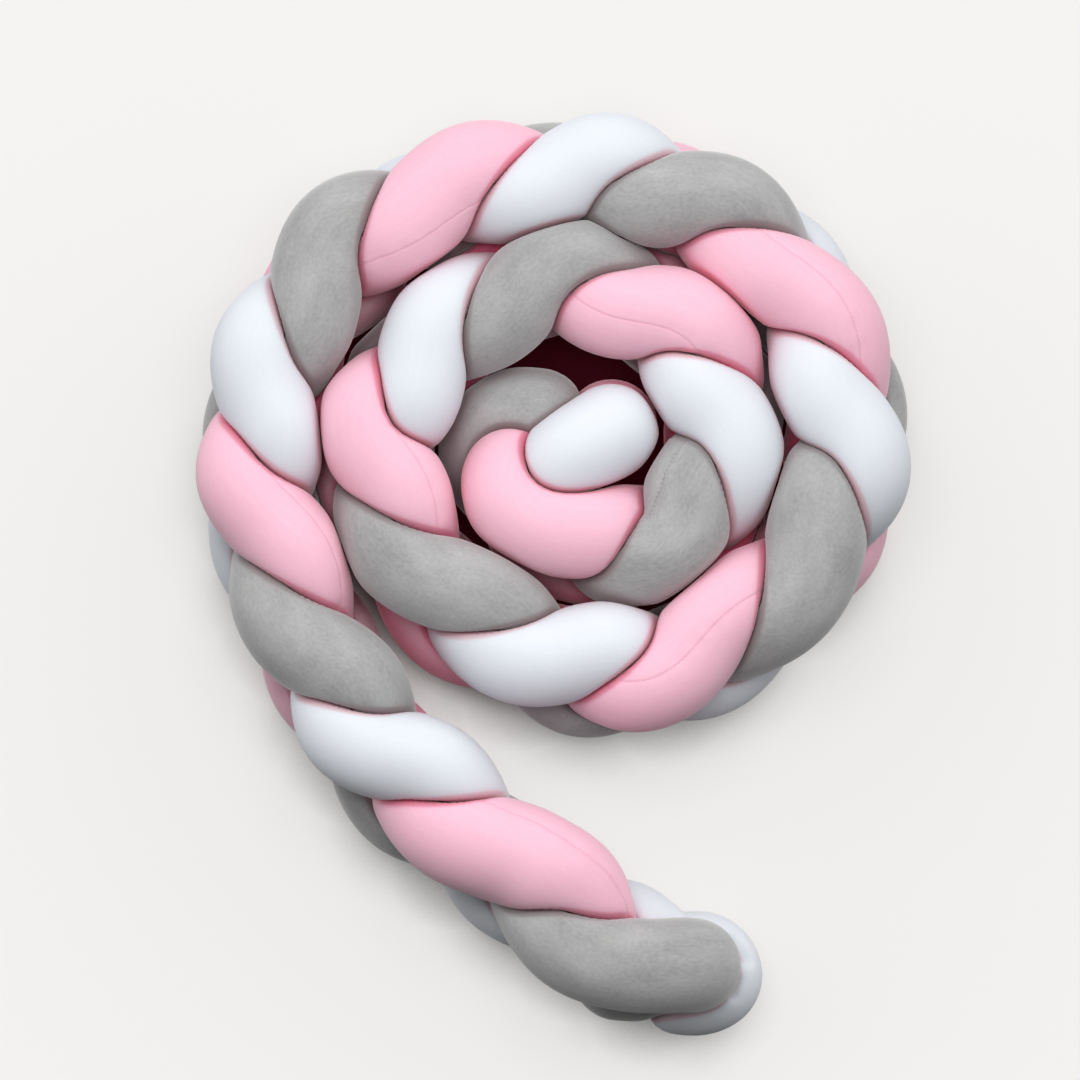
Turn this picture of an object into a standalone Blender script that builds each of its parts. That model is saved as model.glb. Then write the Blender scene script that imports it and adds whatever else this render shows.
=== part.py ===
"""Crib bumper: three stuffed velvet tubes plaited flat, stood on edge and coiled, with a loose tail."""
import math

import bpy
import bmesh
import numpy as np
from mathutils.bvhtree import BVHTree

MM = 0.001                 # the tables below are in millimetres

# ---- the stuffed tube ----
TUBE_RADIUS = 34.0         # a usual tube where nothing presses it
EDGE_SOFTNESS = 9.0        # rounding where a pressed side turns into a free side
FLOOR_SOFTNESS = 2.5       # rounding round the flattened underside
TUBE_GAP = 0.7             # clear distance kept between two pressed tubes
FOLD_LIMIT = 0.85          # share of the bend radius a tube may fill on the inside of a bend
REACH = 100.0              # tubes farther away than this never press
OWN_LENGTH = 60.0          # along one tube, parts farther apart than this press as two tubes

# ---- the plait ----
STRANDS = 3
LEVEL = 63.5               # height of the middle of the plait
RISE = 40.0                # each tube rises and sinks by this
FLATTENING = 5.0           # less this, because it runs level for a while at the top and at the bottom
SWAY = 12.5                # each tube moves sideways by this

# Middle of the plait at each crown, from the free tail (crown 0) to the middle of the coil.
# x, y: place on the floor; lean: how far the low tube past this crown stands out to the outer side.
CROWNS = [
    # x,      y,   lean
    (120, -311, 3),
    (44, -272, 7),
    (-31, -195, 20),
    (-110, -127, 7),
    (-165, -55, 5),
    (-201, 40, 7),
    (-206, 128, -7),
    (-168, 219, 0),
    (-88, 269, 7),
    (10, 288, 3),
    (92, 271, 8),
    (168, 209, 13),
    (207, 110, 3),
    (186, 24, 6),
    (98, -52, 8),
    (10, -56, 10),
    (-77, -5, 12),
    (-124, 84, 8),
    (-94, 152, 13),
    (-19, 206, 22),
    (67, 188, 14),
    (118, 117, 9),
    (93, 39, 12),
    (20, 34, 0),
]
FIRST_CROWN = -1
LOW_AFTER = 0.5            # a tube is lowest this far past a crown, in crowns
ORIGIN = (1.6, 5.1, 0.0)   # where in these tables the object's own origin lies

# Each tube follows the plait between these crowns, and its own points (x, y, z) beyond them.
# girth: the tube's radius at these crowns.
TUBES = {
    "strand_grey": {
        "phase": 0, "from_crown": -0.12, "to_crown": 21.35,
        "tail": [(42, -284, 35), (65, -285, 39), (88, -280, 54), (100, -276, 73), (94, -274, 93)],
        "centre": [(43, 16, 66), (28, 32, 52), (2, 50, 38), (-26, 63, 31), (-48, 83, 36),
                   (-48, 104, 50), (-33, 118, 62), (-8, 118, 70)],
        "girth": [(-1, 33), (1, 34), (11, 34), (12, 36.5), (13, 34)],
    },
    "strand_pink": {
        "phase": 1, "from_crown": 0.8, "to_crown": 20.9,
        "tail": [(50, -271, 52), (32, -258, 62), (23, -237, 80), (8, -214, 94)],
        "centre": [(72, 34, 46), (56, 34, 70), (38, 33, 91), (14, 32, 99), (-12, 39, 98),
                   (-30, 55, 94), (-31, 74, 84), (-16, 86, 66), (6, 92, 48), (28, 104, 48),
                   (44, 113, 56)],
        "girth": [(-0.2, 28), (0.1, 33), (0.4, 36), (0.8, 38), (1.4, 37), (2, 34),
                  (6.3, 34), (7, 36), (7.7, 34), (18.9, 34), (19.35, 38), (19.9, 34)],
    },
    "strand_white": {
        "phase": 2, "from_crown": 0.35, "to_crown": 21.5,
        "tail": [(93, -294, 32), (106, -294, 34), (117, -286, 38), (112, -275, 37), (94, -273, 32),
                 (74, -266, 32), (56, -252, 31)],
        "centre": [(20, 16, 31), (-5, 25, 37), (-18, 45, 52), (-8, 67, 78), (7, 82, 96),
                   (27, 95, 99), (46, 107, 94)],
        "girth": [(0, 34)],
    },
}
BEYOND_TAIL, BEYOND_CENTRE = 0.25, 0.3     # crowns that each point beyond the plait counts as

# ---- mesh ----
RINGS = 140
SIDES = 16
CAP_ROWS = 3
PATH_STEP = 4.0
RAY_STEP = 1.5
TURN_SPAN = 24.0           # length of tube over which a ring's direction is averaged
SAMPLES_PER_CROWN = 8
EVENNESS = 0.4             # how much the skin is evened out between neighbouring points
CLEARANCE_STEP = 0.12      # pulled in this much at a time where facets would touch
CLEARANCE_TRIES = 60
SNAP = 0.25                # nearer to the floor than this lies on it

COLOURS = {                # name: (linear colour, roughness)
    "strand_grey": ((0.36, 0.36, 0.36, 1), 0.85),
    "strand_pink": ((0.94, 0.56, 0.68, 1), 0.85),
    "strand_white": ((0.80, 0.83, 0.87, 1), 0.85),
}


def cubic(knots, values):
    """Natural cubic spline through values at increasing knots, as a function."""
    count = len(knots)
    gap = np.diff(knots)[:, None]
    left = np.eye(count)
    right = np.zeros_like(values)
    for i in range(1, count - 1):
        left[i, i - 1:i + 2] = (gap[i - 1, 0], 2 * (gap[i - 1, 0] + gap[i, 0]), gap[i, 0])
        slope = (values[i + 1] - values[i]) / gap[i]
        right[i] = 6 * (slope - (values[i] - values[i - 1]) / gap[i - 1])
    bend = np.linalg.solve(left, right)

    def at(where):
        i = np.clip(np.searchsorted(knots, where, side="right") - 1, 0, count - 2)
        a = ((knots[i + 1] - where) / gap[i, 0])[:, None]
        b = 1 - a
        curve = ((a ** 3 - a) * bend[i] + (b ** 3 - b) * bend[i + 1]) * gap[i] ** 2 / 6
        return a * values[i] + b * values[i + 1] + curve
    return at


def unit(vectors):
    return vectors / np.linalg.norm(vectors, axis=-1, keepdims=True)


def soft_max(a, b, width):
    near = np.maximum(width - np.abs(a - b), 0) / width
    return np.maximum(a, b) + near * near * width / 4


def plait_points(plait, phase, crowns):
    """Where the tube with this phase runs at these crown numbers."""
    middle, lean = plait
    along = unit(middle(crowns + 0.02) - middle(crowns - 0.02))
    outward = np.stack([-along[:, 1], along[:, 0]], 1)
    angle = 2 * math.pi / STRANDS * (crowns - phase)
    side = SWAY * np.sin(2 * angle) + lean(crowns)[:, 0] * (1 - np.cos(angle)) / 2
    level = LEVEL + RISE * np.cos(angle) - FLATTENING * np.cos(3 * angle)
    return np.column_stack([middle(crowns) + outward * side[:, None], level])


def tube_path(plait, tube):
    """The tube's axis as a function of length, its whole length, its radius at a length, its tail."""
    count = int((tube["to_crown"] - tube["from_crown"]) * SAMPLES_PER_CROWN) + 1
    crowns = np.linspace(tube["from_crown"], tube["to_crown"], count)
    middle = plait_points(plait, tube["phase"], crowns)
    points = np.concatenate([tube["tail"], middle, tube["centre"]]) - ORIGIN
    length = np.concatenate([[0], np.cumsum(np.linalg.norm(np.diff(points, axis=0), axis=1))])
    before = crowns[0] - BEYOND_TAIL * np.arange(len(tube["tail"]), 0, -1)
    after = crowns[-1] + BEYOND_CENTRE * np.arange(1, len(tube["centre"]) + 1)
    numbers = np.concatenate([before, crowns, after])
    at_crown, radius = np.array(tube["girth"], float).T

    def girth(where):
        return np.interp(np.interp(where, length, numbers), at_crown, radius)
    return cubic(length, points), length[-1], girth, length[len(tube["tail"])]


def beyond(spots, line, radius):
    """How far each spot lies outside a tube with this axis and these radii."""
    return (np.linalg.norm(spots[:, :, None] - line, axis=3) - radius).min(2)


def reach_along(origin, rays, limit, own, others):
    """How far each ray runs from the axis before it leaves the tube. own and others: axis and radii."""
    steps = np.arange(0, TUBE_RADIUS * 1.3, RAY_STEP)
    spots = origin + rays[:, None, :] * steps[None, :, None]
    inside = beyond(spots, *own)
    field = inside
    if len(others[0]):
        field = soft_max(inside, (inside - beyond(spots, *others) + TUBE_GAP) / 2, EDGE_SOFTNESS)
    field = soft_max(field, -spots[:, :, 2], FLOOR_SOFTNESS)
    out = field > 0
    out[:, 0] = False
    last = np.maximum(np.where(out.any(1), out.argmax(1), len(steps) - 1), 1)
    row = np.arange(len(rays))
    before, after = field[row, last - 1], field[row, last]
    reach = steps[last - 1] + RAY_STEP * np.clip(-before / (after - before), 0, 1)
    return np.minimum(reach, limit)


def heading(path, length, where):
    """Direction of the axis, averaged over a short length."""
    return unit(path(np.minimum(where + TURN_SPAN, length)) - path(np.maximum(where - TURN_SPAN, 0)))


def ring_places(path, length, rings):
    """Where the rings stand along the axis, closer together in a bend, and which way they face."""
    fine = np.linspace(0, length, int(length / PATH_STEP))
    bend = np.linalg.norm(np.gradient(heading(path, length, fine), fine, axis=0), axis=1)
    effort = np.concatenate([[0], np.cumsum((1 + TUBE_RADIUS * (bend[1:] + bend[:-1]) / 2) * np.diff(fine))])
    where = np.interp(np.linspace(0, effort[-1], rings), effort, fine)
    return where, heading(path, length, where)


def tube_mesh(paths, name, rings, sides):
    """Rows of points round one tube, closed by a pole at each end."""
    path, length, _, tail = paths[name]
    dense = {key: np.arange(0, run[1], PATH_STEP) for key, run in paths.items()}
    lines = {key: run[0](dense[key]) for key, run in paths.items()}
    radii = {key: run[2](dense[key]) for key, run in paths.items()}
    where, along = ring_places(path, length, rings)
    origin = path(where)
    side = unit(np.cross((0, 0, 1), along))
    for i in reversed(range(np.searchsorted(where, tail))):     # the tail may turn straight up
        side[i] = unit(side[i + 1] - along[i] * (side[i + 1] @ along[i]))
    upward = np.cross(along, side)
    bend = np.gradient(along, where, axis=0)
    angle = np.arange(sides) * 2 * math.pi / sides
    tilt = [math.pi / 2 * i / (CAP_ROWS + 1) for i in range(1, CAP_ROWS + 1)]
    rows = [(0, -t) for t in reversed(tilt)] + [(i, 0.0) for i in range(rings)]
    rows += [(rings - 1, t) for t in tilt]
    starts, rays, reach = [], [], []

    def solve(i, fan):
        own, others = ([], []), ([], [])
        for key, line in lines.items():
            close = np.linalg.norm(line - origin[i], axis=1) < REACH
            same = close & (np.abs(dense[key] - where[i]) < OWN_LENGTH) if key == name else close & False
            for group, chosen in ((own, same), (others, close & ~same)):
                group[0].append(line[chosen])
                group[1].append(radii[key][chosen])
        inward = fan @ bend[i]
        limit = np.where(inward > 1e-4, FOLD_LIMIT / np.maximum(inward, 1e-4), TUBE_RADIUS * 2)
        starts.append(np.repeat(origin[i:i + 1], len(fan), axis=0))
        rays.append(fan)
        reach.append(reach_along(origin[i], fan, limit, [np.concatenate(part) for part in own],
                                 [np.concatenate(part) for part in others]))

    for i, lift in rows:
        ring = np.cos(angle)[:, None] * side[i] + np.sin(angle)[:, None] * upward[i]
        solve(i, ring * math.cos(lift) + along[i] * math.sin(lift))
    grid = np.array(reach)
    evened = (np.roll(grid, 1, axis=1) + 2 * grid + np.roll(grid, -1, axis=1)) / 4
    evened[1:-1] = (evened[:-2] + 2 * evened[1:-1] + evened[2:]) / 4
    reach = list(grid + (evened - grid) * EVENNESS)
    solve(0, -along[:1])
    solve(rings - 1, along[-1:])
    axis = np.concatenate(starts)
    points = axis + np.concatenate(rays) * np.concatenate(reach)[:, None]
    points[points[:, 2] < SNAP, 2] = 0
    faces = []
    for r in range(len(rows) - 1):
        for s in range(sides):
            a, b = r * sides + s, r * sides + (s + 1) % sides
            faces.append((a, a + sides, b + sides, b))
    start, end, final = len(rows) * sides, len(rows) * sides + 1, (len(rows) - 1) * sides
    for s in range(sides):
        a, b = s, (s + 1) % sides
        faces.append((start, a, b))
        faces.append((end, final + b, final + a))
    return points, faces, axis


def triangles(faces):
    out = []
    for face in faces:
        out += [(face[0], face[i], face[i + 1]) for i in range(1, len(face) - 1)]
    return out


def keep_clear(meshes):
    """Pull facets of two tubes apart where their flat triangles would still touch."""
    names = list(meshes)
    tris = {name: triangles(meshes[name][1]) for name in names}
    for _ in range(CLEARANCE_TRIES):
        trees = {}
        for name in names:
            trees[name] = BVHTree.FromPolygons(meshes[name][0].tolist(), tris[name], epsilon=0.1)
        touched = {name: set() for name in names}
        for a, b in ((0, 1), (1, 2), (2, 0)):
            for i, j in trees[names[a]].overlap(trees[names[b]]):
                touched[names[a]].update(tris[names[a]][i])
                touched[names[b]].update(tris[names[b]][j])
        if not any(touched.values()):
            return
        for name in names:
            points, _, axis = meshes[name]
            pick = sorted(i for i in touched[name] if points[i, 2] > 0)
            points[pick] += unit(axis[pick] - points[pick]) * CLEARANCE_STEP
            points[points[:, 2] < 0, 2] = 0


def add_solid(name, points, faces):
    mesh = bpy.data.meshes.new(name)
    mesh.from_pydata((points * MM).tolist(), [], triangles(faces))
    shell = bmesh.new()
    shell.from_mesh(mesh)
    bmesh.ops.recalc_face_normals(shell, faces=shell.faces)
    shell.to_mesh(mesh)
    shell.free()
    colour, rough = COLOURS[name]
    material = bpy.data.materials.new(name + "_velvet")
    material.use_nodes = True
    shader = material.node_tree.nodes["Principled BSDF"]
    shader.inputs["Base Color"].default_value = colour
    shader.inputs["Roughness"].default_value = rough
    shader.inputs["Metallic"].default_value = 0.0
    mesh.materials.append(material)
    body = bpy.data.objects.new(name, mesh)
    bpy.context.scene.collection.objects.link(body)
    return body


for old in list(bpy.data.objects):
    bpy.data.objects.remove(old, do_unlink=True)

crown_table = np.array(CROWNS, float)
crown_number = np.arange(len(CROWNS)) + float(FIRST_CROWN)
plait = cubic(crown_number, crown_table[:, :2]), cubic(crown_number + LOW_AFTER, crown_table[:, 2:])
paths = {name: tube_path(plait, tube) for name, tube in TUBES.items()}
meshes = {name: list(tube_mesh(paths, name, RINGS, SIDES)) for name in TUBES}
keep_clear(meshes)
for name, (points, faces, _) in meshes.items():
    add_solid(name, points, faces)
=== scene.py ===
"""Crib bumper: velvet covers with their seams, a pale floor, soft light and the camera."""
import math

import bpy
import numpy as np
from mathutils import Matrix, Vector


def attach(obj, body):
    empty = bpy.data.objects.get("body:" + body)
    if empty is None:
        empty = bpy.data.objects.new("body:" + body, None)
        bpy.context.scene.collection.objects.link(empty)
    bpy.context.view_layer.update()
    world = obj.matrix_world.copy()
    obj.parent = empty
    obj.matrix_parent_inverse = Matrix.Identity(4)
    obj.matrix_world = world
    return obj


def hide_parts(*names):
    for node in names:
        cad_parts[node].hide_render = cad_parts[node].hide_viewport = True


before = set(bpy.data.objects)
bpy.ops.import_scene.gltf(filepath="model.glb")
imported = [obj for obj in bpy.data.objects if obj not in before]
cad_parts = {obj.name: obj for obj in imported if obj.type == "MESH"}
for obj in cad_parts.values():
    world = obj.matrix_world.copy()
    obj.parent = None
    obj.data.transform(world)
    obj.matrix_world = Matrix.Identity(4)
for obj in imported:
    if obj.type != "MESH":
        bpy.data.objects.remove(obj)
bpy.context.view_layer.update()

MM = 0.001                 # the tables below are in millimetres

# ---- the stuffed tube ----
TUBE_RADIUS = 34.0         # a tube where nothing presses it
EDGE_SOFTNESS = 5.0        # rounding where a pressed side turns into a free side
FLOOR_SOFTNESS = 2.5       # rounding round the flattened underside
TUBE_GAP = 0.5             # clear distance kept between two pressed tubes
FOLD_LIMIT = 0.85          # share of the bend radius a tube may fill on the inside of a bend
REACH = 100.0              # tubes farther away than this never press
OWN_LENGTH = 60.0          # along one tube, parts farther apart than this press as two tubes
LUMP = 0.5                 # how far uneven fill lets the skin sink
LUMP_WAVES = 14            # waves that add up to the unevenness
LUMP_LENGTHS = (35, 110)   # shortest and longest of them
FOLD_DEPTH = 0.35          # how deep the seam's fold sinks
FOLD_WIDTH = 0.8           # half width of that fold
FULLEST = 1.3              # no tube is fuller than this many times its usual radius
SEAM_PULL = 0.5            # how far the seam draws in the velvet beside it
SEAM_PULL_WIDTH = 7.0      # and over what width
PULL_SPACING = 13.0        # the seam draws in unevenly, about this far from one pucker to the next
CREASE_SHADE_WIDTH = 5.0         # velvet nearer than this to the next tube lies in a crease and is painted with crease shade
STITCHED_ABOVE = 1.0       # no stitch is set where the seam lies nearer than this to the floor

# ---- the plait ----
STRANDS = 3
LEVEL = 63.5               # height of the middle of the plait
RISE = 40.0                # each tube rises and sinks by this
FLATTENING = 5.0           # less this, because it runs level for a while at the top and at the bottom
SWAY = 12.5                # each tube moves sideways by this

# Middle of the plait at each crown, from the free tail (crown 0) to the middle of the coil.
# x, y: place on the floor; lean: how far the low tube past this crown stands out to the outer side.
CROWNS = [
    # x,      y,   lean
    (120, -311, 3),
    (44, -272, 7),
    (-31, -195, 20),
    (-110, -127, 7),
    (-165, -55, 5),
    (-201, 40, 7),
    (-206, 128, -7),
    (-168, 219, 0),
    (-88, 269, 7),
    (10, 288, 3),
    (92, 271, 8),
    (168, 209, 13),
    (207, 110, 3),
    (186, 24, 6),
    (98, -52, 8),
    (10, -56, 10),
    (-77, -5, 12),
    (-124, 84, 8),
    (-94, 152, 13),
    (-19, 206, 22),
    (67, 188, 14),
    (118, 117, 9),
    (93, 39, 12),
    (20, 34, 0),
]
FIRST_CROWN = -1
LOW_AFTER = 0.5            # a tube is lowest this far past a crown, in crowns
ORIGIN = (1.6, 5.1, 0.0)   # where in these tables the object's own origin lies

# Each tube follows the plait between these crowns, and its own points (x, y, z) beyond them.
# girth: the tube's radius at these crowns.
# seam: at these crowns the seam lies this many degrees round the tube, from its outer side over the top.
TUBES = {
    "grey": {
        "phase": 0, "from_crown": -0.12, "to_crown": 21.35,
        "tail": [(42, -284, 35), (65, -285, 39), (88, -280, 54), (100, -276, 73), (94, -274, 93)],
        "centre": [(43, 16, 66), (28, 32, 52), (2, 50, 38), (-26, 63, 31), (-48, 83, 36),
                   (-48, 104, 50), (-33, 118, 62), (-8, 118, 70)],
        "girth": [(-1, 33), (1, 34), (11, 34), (12, 36.5), (13, 34)],
        "seam": [(-1, 250), (6, 265), (12, 240), (18, 215), (20.6, 128), (21.3, 142), (23, 200)],
    },
    "pink": {
        "phase": 1, "from_crown": 0.8, "to_crown": 20.9,
        "tail": [(50, -271, 52), (32, -258, 62), (23, -237, 80), (8, -214, 94)],
        "centre": [(72, 34, 46), (56, 34, 70), (38, 33, 91), (14, 32, 99), (-12, 39, 98),
                   (-30, 55, 94), (-31, 74, 84), (-16, 86, 66), (6, 92, 48), (28, 104, 48),
                   (44, 113, 56)],
        "girth": [(-0.2, 28), (0.1, 33), (0.4, 36), (0.8, 38), (1.4, 37), (2, 34),
                  (6.3, 34), (7, 36), (7.7, 34), (18.9, 34), (19.35, 38), (19.9, 34)],
        "seam": [(0, 128), (0.6, 128), (1.4, 146), (3.6, 140), (4.3, 128), (6.6, 115), (7.4, 148),
                 (9.6, 48), (10.4, 78), (12.6, 84), (13.4, 96), (15.6, 124), (16.4, 134),
                 (18.6, 102), (19.4, 118), (21, 190), (24, 230)],
    },
    "white": {
        "phase": 2, "from_crown": 0.35, "to_crown": 21.5,
        "tail": [(93, -294, 32), (106, -294, 34), (117, -286, 38), (112, -275, 37), (94, -273, 32),
                 (74, -266, 32), (56, -252, 31)],
        "centre": [(20, 16, 31), (-5, 25, 37), (-18, 45, 52), (-8, 67, 78), (7, 82, 96),
                   (27, 95, 99), (46, 107, 94)],
        "girth": [(0, 34)],
        "seam": [(-1, 262), (8, 280), (17, 255), (24, 268)],
    },
}
BEYOND_TAIL, BEYOND_CENTRE = 0.25, 0.3     # crowns that each point beyond the plait counts as

# Small folds in the white velvet where it is drawn round the grey tube's end.
PUCKERS = [
    # from x, y,   to x, y,    depth, half width
    (130, -258, 139, -273, 6.5, 2.8),
    (131, -286, 128, -298, 5.0, 2.8),
]
PUCKERED = "white"
PUCKERED_LENGTH = 150.0    # of that tube, from its tail end
PUCKER_SHADE_OPENING = 7.0       # the velvet in a fold gets the painted crease shade, as if the next tube were nearer than this

# ---- mesh ----
RINGS = 1100
SEAM_COLUMNS = (0.0, 0.7, 1.5, 2.5, 4.0, 6.0, 9.0)   # degrees either side of the seam
PLAIN_COLUMNS = 48                                   # between the last of those, round the rest
CAP_ROWS = 9
PATH_STEP = 4.0
RAY_STEP = 3.0
REFINEMENTS = 2            # times that a ray's end is closed in on between two steps
TURN_STEP = 0.02           # crowns either side over which the plait's direction is taken
POLE_REACH = 3.0           # cloth from the last row of an end to its middle
TURN_SPAN = 24.0           # length of tube over which a ring's direction is averaged
SAMPLES_PER_CROWN = 8
SNAP = 0.25                # nearer to the floor than this lies on it


# ---------------------------------------------------------------- shape of the plait

def cubic(knots, values):
    """Natural cubic spline through values at increasing knots, as a function."""
    count = len(knots)
    gap = np.diff(knots)[:, None]
    left = np.eye(count)
    right = np.zeros_like(values)
    for i in range(1, count - 1):
        left[i, i - 1:i + 2] = (gap[i - 1, 0], 2 * (gap[i - 1, 0] + gap[i, 0]), gap[i, 0])
        slope = (values[i + 1] - values[i]) / gap[i]
        right[i] = 6 * (slope - (values[i] - values[i - 1]) / gap[i - 1])
    bend = np.linalg.solve(left, right)

    def at(where):
        i = np.clip(np.searchsorted(knots, where, side="right") - 1, 0, count - 2)
        a = ((knots[i + 1] - where) / gap[i, 0])[:, None]
        b = 1 - a
        curve = ((a ** 3 - a) * bend[i] + (b ** 3 - b) * bend[i + 1]) * gap[i] ** 2 / 6
        return a * values[i] + b * values[i + 1] + curve
    return at


def unit(vectors):
    """The same directions, each of length 1."""
    return vectors / np.linalg.norm(vectors, axis=-1, keepdims=True)


def soft_max(a, b, width):
    """The greater of two values, with the corner between them rounded over this width."""
    near = np.maximum(width - np.abs(a - b), 0) / width
    return np.maximum(a, b) + near * near * width / 4


def plait_points(plait, phase, crowns):
    """Where the tube with this phase runs at these crown numbers."""
    middle, lean = plait
    along = unit(middle(crowns + TURN_STEP) - middle(crowns - TURN_STEP))
    outward = np.stack([-along[:, 1], along[:, 0]], 1)
    angle = 2 * math.pi / STRANDS * (crowns - phase)
    side = SWAY * np.sin(2 * angle) + lean(crowns)[:, 0] * (1 - np.cos(angle)) / 2
    level = LEVEL + RISE * np.cos(angle) - FLATTENING * np.cos(3 * angle)
    return np.column_stack([middle(crowns) + outward * side[:, None], level])


def tube_path(plait, tube):
    """The tube's axis as a function of length, its whole length, the crown number at a length, its tail."""
    count = int((tube["to_crown"] - tube["from_crown"]) * SAMPLES_PER_CROWN) + 1
    crowns = np.linspace(tube["from_crown"], tube["to_crown"], count)
    middle = plait_points(plait, tube["phase"], crowns)
    points = np.concatenate([tube["tail"], middle, tube["centre"]]) - ORIGIN
    length = np.concatenate([[0], np.cumsum(np.linalg.norm(np.diff(points, axis=0), axis=1))])
    before = crowns[0] - BEYOND_TAIL * np.arange(len(tube["tail"]), 0, -1)
    after = crowns[-1] + BEYOND_CENTRE * np.arange(1, len(tube["centre"]) + 1)
    numbers = np.concatenate([before, crowns, after])

    def crown_at(where):
        return np.interp(where, length, numbers)
    return cubic(length, points), length[-1], crown_at, length[len(tube["tail"])]


def heading(path, length, where):
    """Direction of the axis, averaged over a short length."""
    return unit(path(np.minimum(where + TURN_SPAN, length)) - path(np.maximum(where - TURN_SPAN, 0)))


def ring_places(path, length, rings):
    """Where the rings stand along the axis, closer together in a bend, and which way they face."""
    fine = np.linspace(0, length, int(length / PATH_STEP))
    bend = np.linalg.norm(np.gradient(heading(path, length, fine), fine, axis=0), axis=1)
    effort = np.concatenate([[0], np.cumsum((1 + TUBE_RADIUS * (bend[1:] + bend[:-1]) / 2) * np.diff(fine))])
    where = np.interp(np.linspace(0, effort[-1], rings), effort, fine)
    return where, heading(path, length, where)


def clearance(spots, line, radii, chosen):
    """How far each spot is outside free tubes with these radii round the chosen samples of a line."""
    flat = spots.reshape(-1, 3)
    some = line[chosen]
    square = (some * some).sum(1) - 2 * flat @ some.T
    nearest = np.clip(chosen[square.argmin(1)], 1, len(line) - 2)
    before, here, after = (((flat - line[nearest + k]) ** 2).sum(1) for k in (-1, 0, 1))
    step = np.linalg.norm(line[nearest + 1] - line[nearest - 1], axis=1)
    between = (np.minimum(before, after) >= here) & (step < 3 * PATH_STEP)
    past = np.where(between, (before - after) / (2 * np.maximum(before - 2 * here + after, 1e-6)), 0)
    radius = radii[nearest] + past * (radii[nearest + 1] - radii[nearest - 1]) / 2
    nearer = np.maximum(here - past * (before - after) / 4, 0)
    return (np.sqrt(nearer) - radius).reshape(spots.shape[:-1])


def reach_along(origin, rays, limit, own, others):
    """How far each ray runs from the axis before it leaves the tube, and the gap there to the other tubes.

    own and others hold a line, its radii and the samples of it that count."""

    def field(steps):
        spots = origin + rays[:, None, :] * steps[:, :, None]
        value = clearance(spots, *own)
        if len(others[-1]):
            beside = clearance(spots, *others)
            value = soft_max(value, (value - beside + TUBE_GAP) / 2, EDGE_SOFTNESS)
        return soft_max(value, -spots[:, :, 2], FLOOR_SOFTNESS)

    steps = np.arange(0, TUBE_RADIUS * FULLEST, RAY_STEP)
    steps = np.broadcast_to(steps, (len(rays), len(steps)))
    values = field(steps)
    out = values > 0
    out[:, 0] = False
    last = np.maximum(np.where(out.any(1), out.argmax(1), steps.shape[1] - 1), 1)
    row = np.arange(len(rays))
    low, high = steps[row, last - 1], steps[row, last]
    below, above = values[row, last - 1], values[row, last]
    for _ in range(REFINEMENTS):
        middle = low + (high - low) * np.clip(-below / (above - below), 0.02, 0.98)
        value = field(middle[:, None])[:, 0]
        low, below = np.where(value < 0, middle, low), np.where(value < 0, value, below)
        high, above = np.where(value < 0, high, middle), np.where(value < 0, above, value)
    reach = np.minimum(low + (high - low) * np.clip(-below / (above - below), 0, 1), limit)
    if not len(others[-1]):
        return reach, np.full(len(rays), REACH)
    return reach, clearance(origin + rays * reach[:, None], *others)


def lumps(seed, where, around):
    """A smooth unevenness between 0 and 1 over the skin, the same on every run."""
    random = np.random.default_rng(seed)
    total = np.zeros(np.broadcast(where, around).shape)
    for _ in range(LUMP_WAVES):
        wave = random.uniform(*LUMP_LENGTHS)
        turns = random.integers(0, 4)
        lean = random.choice([-1, 1])
        total += np.sin(2 * math.pi * where / wave + lean * turns * around + random.uniform(0, 2 * math.pi))
    return 0.5 + 0.5 * np.clip(total / 6, -1, 1)


def pucker_depths(points):
    """How far the small folds at the tail sink these points, and how much each lies in a fold."""
    sunk, folded = np.zeros(len(points)), np.zeros(len(points))
    for x0, y0, x1, y1, depth, width in PUCKERS:
        start = np.array((x0, y0), float) - ORIGIN[:2]
        run = np.array((x1 - x0, y1 - y0), float)
        share = np.clip((points[:, :2] - start) @ run / (run @ run), 0, 1)
        away = np.linalg.norm(points[:, :2] - start - share[:, None] * run, axis=1)
        fold = np.exp(-(away / width) ** 2)
        sunk = np.maximum(sunk, depth * fold)
        folded = np.maximum(folded, fold * depth / PUCKERS[0][4])
    return sunk, folded


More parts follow.
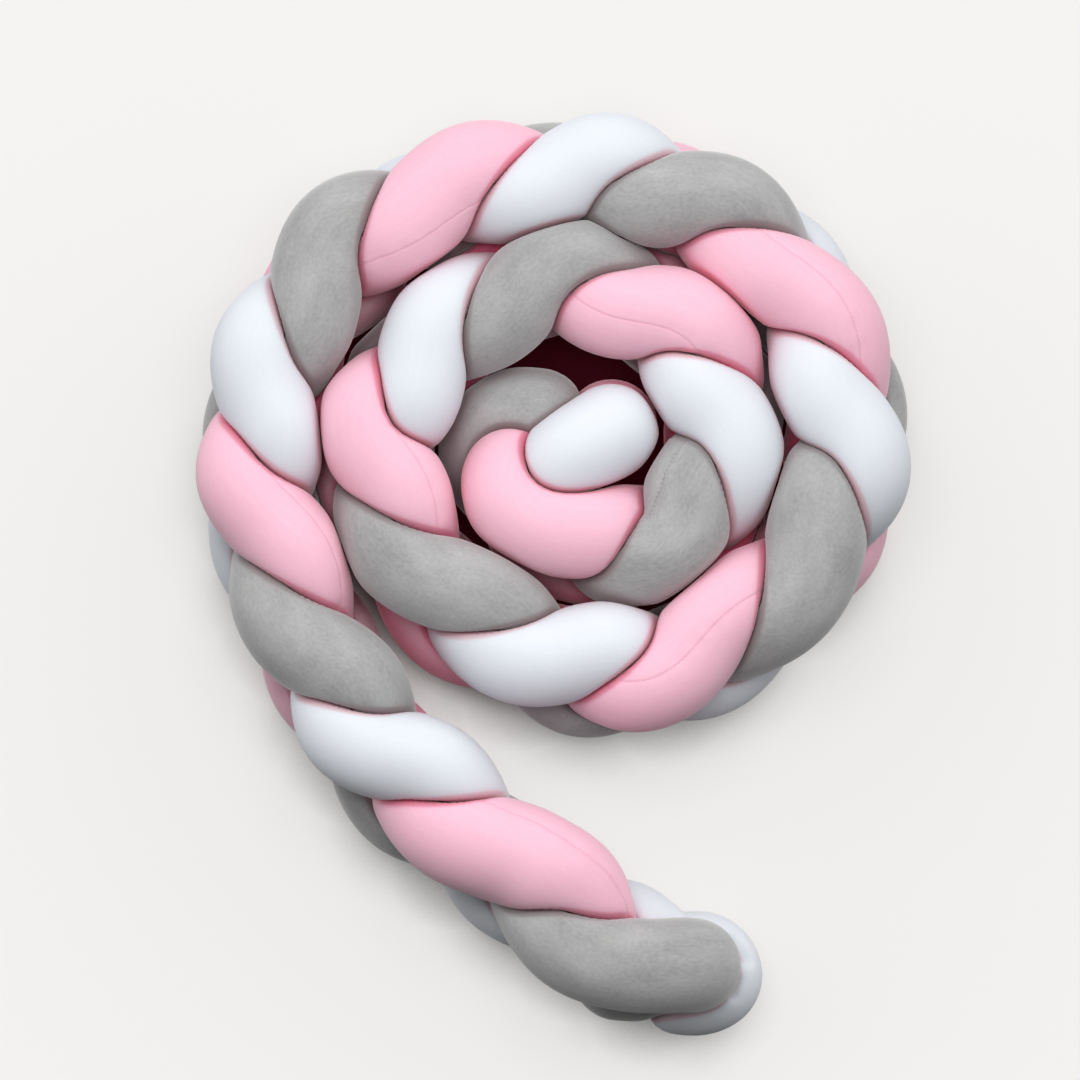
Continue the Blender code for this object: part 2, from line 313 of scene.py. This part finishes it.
def tube_skin(name, number, runs, lines):
    """Points, outward faces, flat cloth coordinates, gaps to the next tube and seam of a velvet tube."""
    path, length, crown_at, tail = runs[name]
    where, along = ring_places(path, length, RINGS)
    origin = path(where)
    side = unit(np.cross((0, 0, 1), along))
    for i in reversed(range(np.searchsorted(where, tail))):     # the tail may turn straight up
        side[i] = unit(side[i + 1] - along[i] * (side[i + 1] @ along[i]))
    upward = np.cross(along, side)
    bend = np.gradient(along, where, axis=0)
    near = np.array(SEAM_COLUMNS)
    plain = np.linspace(near[-1], 360 - near[-1], PLAIN_COLUMNS + 2)[1:-1]
    offset = np.radians(np.concatenate([near, plain, 360 - near[:0:-1]]))
    columns = len(offset)
    crowns, degrees = np.array(TUBES[name]["seam"], float).T
    seam = np.radians(np.interp(crown_at(where), crowns, degrees))
    tilt = [math.pi / 2 * i / (CAP_ROWS + 1) for i in range(1, CAP_ROWS + 1)]
    rows = [(0, -t) for t in reversed(tilt)] + [(i, 0.0) for i in range(RINGS)]
    rows += [(RINGS - 1, t) for t in tilt]
    line, owner, place, radii = lines
    sample = np.arange(len(line))

    def solve(i, fan):
        close = np.linalg.norm(line - origin[i], axis=1) < REACH
        same = close & (owner == number) & (np.abs(place - where[i]) < OWN_LENGTH)
        inward = fan @ bend[i]
        limit = np.where(inward > 1e-4, FOLD_LIMIT / np.maximum(inward, 1e-4), TUBE_RADIUS * 2)
        own, others = (line, radii, sample[same]), (line, radii, sample[close & ~same])
        return reach_along(origin[i], fan, limit, own, others)

    starts, rays, reach, gaps, turn, run = [], [], [], [], [], []
    for i, lift in rows:
        angle = offset + seam[i]
        ring = np.cos(angle)[:, None] * side[i] + np.sin(angle)[:, None] * upward[i]
        fan = ring * math.cos(lift) + along[i] * math.sin(lift)
        starts.append(np.repeat(origin[i:i + 1], columns, axis=0))
        rays.append(fan)
        far, gap = solve(i, fan)
        reach.append(far)
        gaps.append(gap)
        turn.append(offset)
        run.append(np.full(columns, where[i] + TUBE_RADIUS * lift))
    reach, turn, run = np.array(reach), np.array(turn), np.array(run)
    beside = np.minimum(turn, 2 * math.pi - turn) * TUBE_RADIUS
    easing = np.clip(np.minimum(run, length - run) / TUBE_RADIUS + 1, 0, 1)
    reach -= LUMP * lumps(number, run, turn)
    pucker = 1 + 0.5 * np.sin(run * 2 * math.pi / PULL_SPACING + 2 * np.sin(run / PULL_SPACING / 1.7))
    reach -= easing * (FOLD_DEPTH * np.exp(-(beside / FOLD_WIDTH) ** 2)
                       + SEAM_PULL * pucker * np.exp(-(beside / SEAM_PULL_WIDTH) ** 2))
    points = np.concatenate(starts) + np.concatenate(rays) * reach.reshape(-1, 1)
    for i, fan in ((0, -along[:1]), (RINGS - 1, along[-1:])):
        far, gap = solve(i, fan)
        points = np.concatenate([points, origin[i] + fan * (far[0] - LUMP / 2)])
        gaps.append(gap)
    gaps = np.concatenate(gaps)
    if name == PUCKERED:
        end = np.flatnonzero(run.ravel() < PUCKERED_LENGTH)
        sunk, folded = pucker_depths(points[end])
        points[end] -= np.concatenate(rays)[end] * sunk[:, None]
        # painted shade: the folds take the crease shade through a smaller gap
        gaps[end] = np.minimum(gaps[end], PUCKER_SHADE_OPENING * (1 - folded) + 1)
    points[points[:, 2] < SNAP, 2] = 0
    count = len(rows)
    square = np.arange(columns)
    beyond = (square + 1) % columns
    quads = []
    for r in range(count - 1):
        quads.append(np.stack([square, beyond, beyond + columns, square + columns], 1) + r * columns)
    faces = np.concatenate(quads).tolist()
    edge = (count - 1) * columns
    faces += [(count * columns, int(b), int(a)) for a, b in zip(square, beyond)]
    faces += [(count * columns + 1, int(edge + a), int(edge + b)) for a, b in zip(square, beyond)]
    around = np.concatenate([turn.ravel(), [math.pi, math.pi]]) * TUBE_RADIUS
    lengthwise = np.concatenate([run.ravel(), [run[0, 0] - POLE_REACH, run[-1, 0] + POLE_REACH]])
    seam_line = points[CAP_ROWS * columns:(CAP_ROWS + RINGS) * columns:columns]
    return points, faces, around, lengthwise, gaps, seam_line


def add_skin(name, skin, material):
    """The velvet cover, with its flat cloth coordinates and its gap to the next tube at each point."""
    points, faces, around, lengthwise, gaps, _ = skin
    mesh = bpy.data.meshes.new(f"{name}_tube_cover")
    mesh.from_pydata((points * MM).tolist(), [], faces)
    mesh.shade_smooth()
    mesh.attributes.new("gap", "FLOAT", "POINT").data.foreach_set("value", (gaps * MM).astype(np.float32))
    corners = np.empty(len(mesh.loops), dtype=np.int32)
    mesh.loops.foreach_get("vertex_index", corners)
    across = around[corners]
    sizes = np.empty(len(mesh.polygons), dtype=np.int32)
    mesh.polygons.foreach_get("loop_total", sizes)
    owner = np.repeat(np.arange(len(sizes)), sizes)
    half = math.pi * TUBE_RADIUS
    highest = np.zeros(len(sizes))
    np.maximum.at(highest, owner, across)
    closes_round = highest > half * 1.5          # the last strip, which meets the first at the seam
    across = np.where((across < 1e-6) & closes_round[owner], 2 * half, across)
    cloth = mesh.uv_layers.new(name="cloth")
    flat = np.stack([across, lengthwise[corners]], 1) * MM
    cloth.data.foreach_set("uv", flat.ravel().astype(np.float32))
    mesh.materials.append(material)
    cover = bpy.data.objects.new(mesh.name, mesh)
    bpy.context.scene.collection.objects.link(cover)
    return cover


def node(tree, kind, place, **settings):
    """A new node in this tree, at this place in its drawing."""
    made = tree.nodes.new(kind)
    made.location = place
    for key, value in settings.items():
        setattr(made, key, value)
    return made


def stitch_tree():
    """Geometry Nodes that set small stitches along a line, each a little longer or shorter."""
    tree = bpy.data.node_groups.new("seam_stitches", "GeometryNodeTree")
    face = tree.interface
    face.new_socket("Line", in_out="INPUT", socket_type="NodeSocketGeometry")
    for title, value in (("Pitch", 0.0034), ("Length", 0.0024), ("Thickness", 0.0006), ("Unevenness", 0.2)):
        face.new_socket(title, in_out="INPUT", socket_type="NodeSocketFloat").default_value = value
    face.new_socket("Seed", in_out="INPUT", socket_type="NodeSocketInt").default_value = 1
    face.new_socket("Thread", in_out="INPUT", socket_type="NodeSocketMaterial")
    face.new_socket("Stitches", in_out="OUTPUT", socket_type="NodeSocketGeometry")
    link = tree.links.new
    into = node(tree, "NodeGroupInput", (-900, 0))
    curve = node(tree, "GeometryNodeMeshToCurve", (-700, 200))
    spots = node(tree, "GeometryNodeCurveToPoints", (-500, 200), mode="LENGTH")
    stitch = node(tree, "GeometryNodeMeshIcoSphere", (-500, -50))
    stitch.inputs["Radius"].default_value = 0.5
    uneven = node(tree, "FunctionNodeRandomValue", (-700, -200), data_type="FLOAT")
    uneven.inputs[2].default_value = -1.0
    uneven.inputs[3].default_value = 1.0
    stretch = node(tree, "ShaderNodeMath", (-500, -250), operation="MULTIPLY_ADD")
    stretch.inputs[2].default_value = 1.0
    longer = node(tree, "ShaderNodeMath", (-350, -250), operation="MULTIPLY")
    size = node(tree, "ShaderNodeCombineXYZ", (-200, -200))
    placed = node(tree, "GeometryNodeInstanceOnPoints", (0, 100))
    solid = node(tree, "GeometryNodeRealizeInstances", (200, 100))
    smooth = node(tree, "GeometryNodeSetShadeSmooth", (350, 100))
    thread = node(tree, "GeometryNodeSetMaterial", (500, 100))
    out = node(tree, "NodeGroupOutput", (700, 100))
    link(into.outputs["Line"], curve.inputs["Mesh"])
    link(curve.outputs["Curve"], spots.inputs["Curve"])
    link(into.outputs["Pitch"], spots.inputs["Length"])
    link(into.outputs["Seed"], uneven.inputs["Seed"])
    link(uneven.outputs[1], stretch.inputs[0])
    link(into.outputs["Unevenness"], stretch.inputs[1])
    link(stretch.outputs[0], longer.inputs[0])
    link(into.outputs["Length"], longer.inputs[1])
    link(into.outputs["Thickness"], size.inputs["X"])
    link(into.outputs["Thickness"], size.inputs["Y"])
    link(longer.outputs[0], size.inputs["Z"])
    link(spots.outputs["Points"], placed.inputs["Points"])
    link(spots.outputs["Rotation"], placed.inputs["Rotation"])
    link(stitch.outputs["Mesh"], placed.inputs["Instance"])
    link(size.outputs[0], placed.inputs["Scale"])
    link(placed.outputs["Instances"], solid.inputs["Geometry"])
    link(solid.outputs["Geometry"], smooth.inputs["Geometry"])
    link(smooth.outputs["Geometry"], thread.inputs["Geometry"])
    link(into.outputs["Thread"], thread.inputs["Material"])
    link(thread.outputs["Geometry"], out.inputs["Stitches"])
    return tree


def add_stitches(name, seam_line, tree, seed, material):
    """The thread that shows in the seam's fold."""
    guide = bpy.data.meshes.new(f"{name}_seam_stitches")
    above = seam_line[:, 2] > STITCHED_ABOVE
    ends = np.flatnonzero(above[:-1] & above[1:])
    guide.from_pydata((seam_line * MM).tolist(), [(int(i), int(i) + 1) for i in ends], [])
    stitches = bpy.data.objects.new(guide.name, guide)
    bpy.context.scene.collection.objects.link(stitches)
    modifier = stitches.modifiers.new("stitches", "NODES")
    modifier.node_group = tree
    sockets = {item.name: item.identifier for item in tree.interface.items_tree if item.in_out == "INPUT"}
    modifier[sockets["Seed"]] = seed
    modifier[sockets["Thread"]] = material
    depsgraph = bpy.context.evaluated_depsgraph_get()
    made = bpy.data.meshes.new_from_object(stitches.evaluated_get(depsgraph))
    stitches.modifiers.clear()
    stitches.data = made
    return stitches


# ---------------------------------------------------------------- materials

def velvet_pile_group():
    """Short velvet pile: patches where it lies the other way, fine grain, and height for the bump."""
    tree = bpy.data.node_groups.new("velvet_pile", "ShaderNodeTree")
    face = tree.interface
    face.new_socket("Cloth", in_out="INPUT", socket_type="NodeSocketVector")
    for title, value in (("Patch Size", 0.03), ("Grain Size", 0.0022), ("Streak Size", 0.0035),
                         ("Patch Strength", 0.1), ("Grain Strength", 0.05), ("Streak Strength", 0.05),
                         ("Seam Width", 0.0010), ("Seam Shade", 0.25)):
        face.new_socket(title, in_out="INPUT", socket_type="NodeSocketFloat").default_value = value
    face.new_socket("Shade", in_out="OUTPUT", socket_type="NodeSocketFloat")
    face.new_socket("Height", in_out="OUTPUT", socket_type="NodeSocketFloat")
    into = node(tree, "NodeGroupInput", (-1400, 0))
    out = node(tree, "NodeGroupOutput", (900, 0))
    link = tree.links.new

    def math_node(kind, place, *values):
        made = node(tree, "ShaderNodeMath", place, operation=kind)
        for socket, value in zip(made.inputs, values):
            if isinstance(value, (int, float)):
                socket.default_value = value
            else:
                link(value, socket)
        return made.outputs[0]

    def noise(place, size, stretch, detail):
        scale = math_node("DIVIDE", (place[0] - 400, place[1] - 150), 1.0, size)
        shape = node(tree, "ShaderNodeVectorMath", (place[0] - 200, place[1]), operation="MULTIPLY")
        shape.inputs[1].default_value = stretch
        link(into.outputs["Cloth"], shape.inputs[0])
        made = node(tree, "ShaderNodeTexNoise", place)
        made.inputs["Detail"].default_value = detail
        made.inputs["Roughness"].default_value = 0.6
        link(shape.outputs[0], made.inputs["Vector"])
        link(scale, made.inputs["Scale"])
        return made.outputs["Fac"]

    patch = noise((-600, 300), into.outputs["Patch Size"], (1.0, 0.6, 1.0), 4.0)
    grain = noise((-600, 0), into.outputs["Grain Size"], (1.0, 0.8, 1.0), 3.0)
    streak = noise((-600, 600), into.outputs["Streak Size"], (1.0, 0.10, 1.0), 2.0)
    streak_part = math_node("MULTIPLY", (-300, 600), math_node("SUBTRACT", (-400, 600), streak, 0.5),
                            into.outputs["Streak Strength"])
    patch_part = math_node("MULTIPLY", (-300, 300), math_node("SUBTRACT", (-400, 300), patch, 0.5),
                           into.outputs["Patch Strength"])
    grain_part = math_node("MULTIPLY", (-300, 0), math_node("SUBTRACT", (-400, 0), grain, 0.5),
                           into.outputs["Grain Strength"])
    split = node(tree, "ShaderNodeSeparateXYZ", (-1100, -400))
    link(into.outputs["Cloth"], split.inputs[0])
    half = math.pi * TUBE_RADIUS * MM
    from_back = math_node("ABSOLUTE", (-900, -400),
                          math_node("SUBTRACT", (-1000, -400), split.outputs[0], half))
    from_seam = math_node("SUBTRACT", (-800, -400), half, from_back)
    ratio = math_node("DIVIDE", (-700, -400), from_seam, into.outputs["Seam Width"])
    dark = math_node("POWER", (-500, -400), 2.718, math_node("MULTIPLY", (-600, -400), math_node(
        "MULTIPLY", (-650, -450), ratio, ratio), -1.0))
    seam_part = math_node("MULTIPLY", (-300, -400), dark, into.outputs["Seam Shade"])
    mixed = math_node("ADD", (-100, 200), math_node("ADD", (-200, 300), patch_part, streak_part), grain_part)
    shade = math_node("SUBTRACT", (100, 200), math_node("ADD", (0, 200), mixed, 1.0), seam_part)
    link(shade, out.inputs["Shade"])
    height = math_node("ADD", (100, -100), math_node("MULTIPLY", (0, -100), grain, 0.6),
                       math_node("MULTIPLY", (0, -200), patch, 0.4))
    link(height, out.inputs["Height"])
    return tree


def velvet(name, pile, colour, shade_colour, crease_shade_colour, hollow_shade_colour, patch, grain, streak, sheen):
    """A velvet of one colour, with its colours where the pile lies away, and with painted shade in a crease
    and down in the coil.
    """
    material = bpy.data.materials.new(name)
    material.use_nodes = True
    tree = material.node_tree
    shader = tree.nodes["Principled BSDF"]
    link = tree.links.new
    cloth = node(tree, "ShaderNodeUVMap", (-900, 0), uv_map="cloth")
    group = node(tree, "ShaderNodeGroup", (-700, 0), node_tree=pile)
    group.inputs["Patch Strength"].default_value = patch
    group.inputs["Grain Strength"].default_value = grain
    group.inputs["Streak Strength"].default_value = streak
    link(cloth.outputs["UV"], group.inputs["Cloth"])
    ramp = node(tree, "ShaderNodeMapRange", (-500, 100))
    ramp.inputs["From Min"].default_value = 0.8
    ramp.inputs["From Max"].default_value = 1.2
    link(group.outputs["Shade"], ramp.inputs["Value"])
    mix = node(tree, "ShaderNodeMix", (-300, 100), data_type="RGBA")
    mix.inputs["A"].default_value = (*shade_colour, 1)
    mix.inputs["B"].default_value = (*colour, 1)
    link(ramp.outputs["Result"], mix.inputs["Factor"])
    # painted shade: velvet near the next tube is mixed toward a darker crease colour
    gap = node(tree, "ShaderNodeAttribute", (-700, 400), attribute_name="gap")
    depth = node(tree, "ShaderNodeMapRange", (-500, 400), interpolation_type="SMOOTHSTEP")
    depth.inputs["From Min"].default_value = CREASE_SHADE_WIDTH * MM
    depth.inputs["From Max"].default_value = TUBE_GAP * MM
    link(gap.outputs["Fac"], depth.inputs["Value"])
    nearer = node(tree, "ShaderNodeMath", (-300, 400), operation="POWER")
    nearer.inputs[1].default_value = 2.0
    link(depth.outputs["Result"], nearer.inputs[0])
    crease_shaded = node(tree, "ShaderNodeMix", (-120, 200), data_type="RGBA")
    link(nearer.outputs[0], crease_shaded.inputs["Factor"])
    link(mix.outputs["Result"], crease_shaded.inputs["A"])
    crease_shaded.inputs["B"].default_value = (*crease_shade_colour, 1)
    # painted shade: where an occlusion test finds the velvet closed in, its colour is mixed toward a dark
    # crimson, standing in for shade and pink bounce light down in the coil
    coil_occlusion = node(tree, "ShaderNodeAmbientOcclusion", (-500, 650), samples=3)
    coil_occlusion.inputs["Distance"].default_value = 0.08
    hollow_shade_amount = node(tree, "ShaderNodeMapRange", (-300, 650), interpolation_type="SMOOTHSTEP")
    hollow_shade_amount.inputs["From Min"].default_value = 0.38
    hollow_shade_amount.inputs["From Max"].default_value = 0.05
    link(coil_occlusion.outputs["AO"], hollow_shade_amount.inputs["Value"])
    hollow_shaded = node(tree, "ShaderNodeMix", (40, 300), data_type="RGBA")
    link(hollow_shade_amount.outputs["Result"], hollow_shaded.inputs["Factor"])
    link(crease_shaded.outputs["Result"], hollow_shaded.inputs["A"])
    hollow_shaded.inputs["B"].default_value = (*hollow_shade_colour, 1)
    link(hollow_shaded.outputs["Result"], shader.inputs["Base Color"])
    bump = node(tree, "ShaderNodeBump", (-300, -200))
    bump.inputs["Strength"].default_value = 0.35
    bump.inputs["Distance"].default_value = 0.0004
    link(group.outputs["Height"], bump.inputs["Height"])
    link(bump.outputs["Normal"], shader.inputs["Normal"])
    shader.inputs["Roughness"].default_value = 0.95
    shader.inputs["Specular IOR Level"].default_value = 0.15
    shader.inputs["Sheen Weight"].default_value = sheen
    shader.inputs["Sheen Roughness"].default_value = 0.45
    shader.inputs["Sheen Tint"].default_value = (*(0.5 + part / 2 for part in colour), 1)
    return material


def thread_material(name, colour):
    """Matt sewing thread, a little darker in small random spots."""
    material = bpy.data.materials.new(name)
    material.use_nodes = True
    tree = material.node_tree
    shader = tree.nodes["Principled BSDF"]
    place = node(tree, "ShaderNodeTexCoord", (-900, 0))
    twist = node(tree, "ShaderNodeTexNoise", (-700, 0))
    twist.inputs["Scale"].default_value = 1500.0
    shades = node(tree, "ShaderNodeMix", (-300, 0), data_type="RGBA")
    shades.inputs["A"].default_value = (*(0.7 * part for part in colour), 1)
    shades.inputs["B"].default_value = (*colour, 1)
    tree.links.new(place.outputs["Object"], twist.inputs["Vector"])
    tree.links.new(twist.outputs["Fac"], shades.inputs["Factor"])
    tree.links.new(shades.outputs["Result"], shader.inputs["Base Color"])
    shader.inputs["Roughness"].default_value = 0.7
    return material


# ---------------------------------------------------------------- build the covers

crown_table = np.array(CROWNS, float)
crown_number = np.arange(len(CROWNS)) + float(FIRST_CROWN)
plait = cubic(crown_number, crown_table[:, :2]), cubic(crown_number + LOW_AFTER, crown_table[:, 2:])
runs = {name: tube_path(plait, tube) for name, tube in TUBES.items()}
line, owner, places, radii = [], [], [], []
for number, (name, tube) in enumerate(TUBES.items()):
    path, length, crown_at, _ = runs[name]
    place = np.arange(0, length, PATH_STEP)
    line.append(path(place))
    owner.append(np.full(len(place), number))
    places.append(place)
    radii.append(np.interp(crown_at(place), *np.array(tube["girth"], float).T))
lines = tuple(np.concatenate(part) for part in (line, owner, places, radii))

pile = velvet_pile_group()
VELVETS = {
    # name: colour, in the other lie of the pile, painted crease shade, painted shade down in the coil,
    #       patches, grain, streaks, sheen
    "grey": ((0.46, 0.462, 0.46), (0.30, 0.302, 0.30), (0.29, 0.27, 0.272), (0.25, 0.16, 0.18),
             0.80, 0.45, 0.08, 0.85),
    "pink": ((0.96, 0.57, 0.69), (0.90, 0.48, 0.60), (0.82, 0.30, 0.41), (0.75, 0.08, 0.18),
             0.25, 0.24, 0.25, 0.5),
    "white": ((0.785, 0.815, 0.87), (0.71, 0.74, 0.79), (0.74, 0.56, 0.61), (0.50, 0.10, 0.17),
              0.22, 0.20, 0.12, 0.4),
}
THREADS = {"grey": (0.66, 0.66, 0.65), "pink": (0.90, 0.52, 0.64), "white": (0.78, 0.79, 0.82)}
stitching = stitch_tree()
for number, name in enumerate(TUBES):
    skin = tube_skin(name, number, runs, lines)
    cover = add_skin(name, skin, velvet(f"{name}_velvet", pile, *VELVETS[name]))
    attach(cover, "root")
    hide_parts(f"strand_{name}")
    thread = thread_material(f"{name}_thread", THREADS[name])
    stitches = add_stitches(name, skin[-1], stitching, number + 1, thread)
    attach(stitches, "root")


# ---------------------------------------------------------------- floor, light, camera

scene = bpy.context.scene
scene.view_settings.view_transform = "Standard"

bpy.ops.mesh.primitive_plane_add(size=40)
floor = bpy.context.object
floor.name = "floor"
paper = bpy.data.materials.new("pale_floor")
paper.use_nodes = True
paper_shader = paper.node_tree.nodes["Principled BSDF"]
paper_shader.inputs["Roughness"].default_value = 0.95
paper_shader.inputs["Specular IOR Level"].default_value = 0.1
paper_shader.inputs["Emission Color"].default_value = (1.0, 0.992, 0.975, 1)
place = node(paper.node_tree, "ShaderNodeTexCoord", (-1300, 100))
from_coil = node(paper.node_tree, "ShaderNodeVectorMath", (-1100, 100), operation="DISTANCE")
from_coil.inputs[1].default_value = (0.0, 0.10, 0.0)          # middle of the coil
# painted shade: inside the coil the floor's glow is cut and its colour turned dark crimson
beyond_coil = node(paper.node_tree, "ShaderNodeMapRange", (-900, 100), interpolation_type="SMOOTHSTEP")
beyond_coil.inputs["From Min"].default_value = 0.17
beyond_coil.inputs["From Max"].default_value = 0.21
# painted shadow: an occlusion test turned toward the light side cuts the floor's glow next to the pieces
floor_shadow_ao = node(paper.node_tree, "ShaderNodeAmbientOcclusion", (-1100, -200), samples=8)
floor_shadow_ao.inputs["Distance"].default_value = 0.05
light_side = node(paper.node_tree, "ShaderNodeCombineXYZ", (-1300, -200))
light_side.inputs["X"].default_value = 0.20                   # the floor gets a painted shadow on the side away from here
light_side.inputs["Y"].default_value = 0.70
light_side.inputs["Z"].default_value = 0.69
paper.node_tree.links.new(light_side.outputs[0], floor_shadow_ao.inputs["Normal"])
open_floor = node(paper.node_tree, "ShaderNodeMapRange", (-900, -200), interpolation_type="SMOOTHSTEP")
open_floor.inputs["From Min"].default_value = 0.0
open_floor.inputs["From Max"].default_value = 0.84
clear = node(paper.node_tree, "ShaderNodeMath", (-700, -50), operation="MULTIPLY")
glow = node(paper.node_tree, "ShaderNodeMath", (-450, -200), operation="MULTIPLY")
evenly = node(paper.node_tree, "ShaderNodeMapRange", (-700, -350))
evenly.inputs["From Min"].default_value = 0.15
evenly.inputs["From Max"].default_value = 0.75
evenly.inputs["To Min"].default_value = 0.60
evenly.inputs["To Max"].default_value = 0.70
tint = node(paper.node_tree, "ShaderNodeMix", (-450, 100), data_type="RGBA")
tint.inputs["A"].default_value = (0.075, 0.005, 0.014, 1)      # painted shade with painted pink bounce light, on the floor between the tubes
tint.inputs["B"].default_value = (0.26, 0.257, 0.253, 1)
paper.node_tree.links.new(place.outputs["Object"], from_coil.inputs[0])
paper.node_tree.links.new(from_coil.outputs["Value"], beyond_coil.inputs["Value"])
paper.node_tree.links.new(floor_shadow_ao.outputs["AO"], open_floor.inputs["Value"])
paper.node_tree.links.new(open_floor.outputs["Result"], clear.inputs[0])
paper.node_tree.links.new(beyond_coil.outputs["Result"], clear.inputs[1])
paper.node_tree.links.new(from_coil.outputs["Value"], evenly.inputs["Value"])
paper.node_tree.links.new(clear.outputs[0], glow.inputs[0])
paper.node_tree.links.new(evenly.outputs["Result"], glow.inputs[1])
paper.node_tree.links.new(beyond_coil.outputs["Result"], tint.inputs["Factor"])
paper.node_tree.links.new(glow.outputs[0], paper_shader.inputs["Emission Strength"])
paper.node_tree.links.new(tint.outputs["Result"], paper_shader.inputs["Base Color"])
floor.data.materials.append(paper)
floor.visible_diffuse = False          # the studio light below stands in for light off the floor

world = bpy.data.worlds.new("studio")
scene.world = world
world.use_nodes = True
background = world.node_tree.nodes["Background"]
background.inputs["Color"].default_value = (1.0, 1.0, 1.0, 1)
side = node(world.node_tree, "ShaderNodeTexCoord", (-1100, 0))
split = node(world.node_tree, "ShaderNodeSeparateXYZ", (-900, 0))
either = node(world.node_tree, "ShaderNodeMath", (-700, 100), operation="ABSOLUTE")
facing = node(world.node_tree, "ShaderNodeCombineXYZ", (-700, -50))
toward = node(world.node_tree, "ShaderNodeVectorMath", (-500, 0), operation="DOT_PRODUCT")
toward.inputs[1].default_value = (1.25, 0.38, 0.30)      # soft light from both sides and the far side
beyond = node(world.node_tree, "ShaderNodeMapRange", (-500, -200), interpolation_type="SMOOTHSTEP")
beyond.inputs["From Min"].default_value = -0.40          # and a dark near side
beyond.inputs["From Max"].default_value = 0.20
strength = node(world.node_tree, "ShaderNodeMath", (-300, 0), operation="MULTIPLY")
positive = node(world.node_tree, "ShaderNodeMath", (-150, 0), operation="MAXIMUM")
positive.inputs[1].default_value = 0.03
world.node_tree.links.new(split.outputs["Y"], beyond.inputs["Value"])
world.node_tree.links.new(beyond.outputs["Result"], strength.inputs[1])
world.node_tree.links.new(side.outputs["Generated"], split.inputs[0])
world.node_tree.links.new(split.outputs["X"], either.inputs[0])
world.node_tree.links.new(either.outputs[0], facing.inputs["X"])
world.node_tree.links.new(split.outputs["Y"], facing.inputs["Y"])
world.node_tree.links.new(split.outputs["Z"], facing.inputs["Z"])
world.node_tree.links.new(facing.outputs[0], toward.inputs[0])
world.node_tree.links.new(toward.outputs["Value"], strength.inputs[0])
world.node_tree.links.new(strength.outputs[0], positive.inputs[0])
world.node_tree.links.new(positive.outputs[0], background.inputs["Strength"])

lamp = bpy.data.lights.new("soft_box", "AREA")
lamp.shape = "DISK"
lamp.size = 0.9
lamp.energy = 10.0
key = bpy.data.objects.new("soft_box", lamp)
key.location = (0.0, 0.24, 1.30)           # above the coil, so that the tail's near sides fall dark
key.visible_camera = False
scene.collection.objects.link(key)

PHOTO_WIDTH = 0.7668       # metres of floor-level scene across the photo
CAMERA_DISTANCE = 2.4
CAMERA_RISE = math.radians(86)
aim = Vector((-0.0112, 0.0208, 0.1))
back = Vector((0, -math.cos(CAMERA_RISE), math.sin(CAMERA_RISE)))
lens = bpy.data.cameras.new("camera")
lens.sensor_width = 36
lens.lens = 36 * CAMERA_DISTANCE / PHOTO_WIDTH
camera = bpy.data.objects.new("camera", lens)
camera.location = aim + back * CAMERA_DISTANCE
camera.rotation_euler = back.to_track_quat("Z", "Y").to_euler()
scene.collection.objects.link(camera)
scene.camera = camera
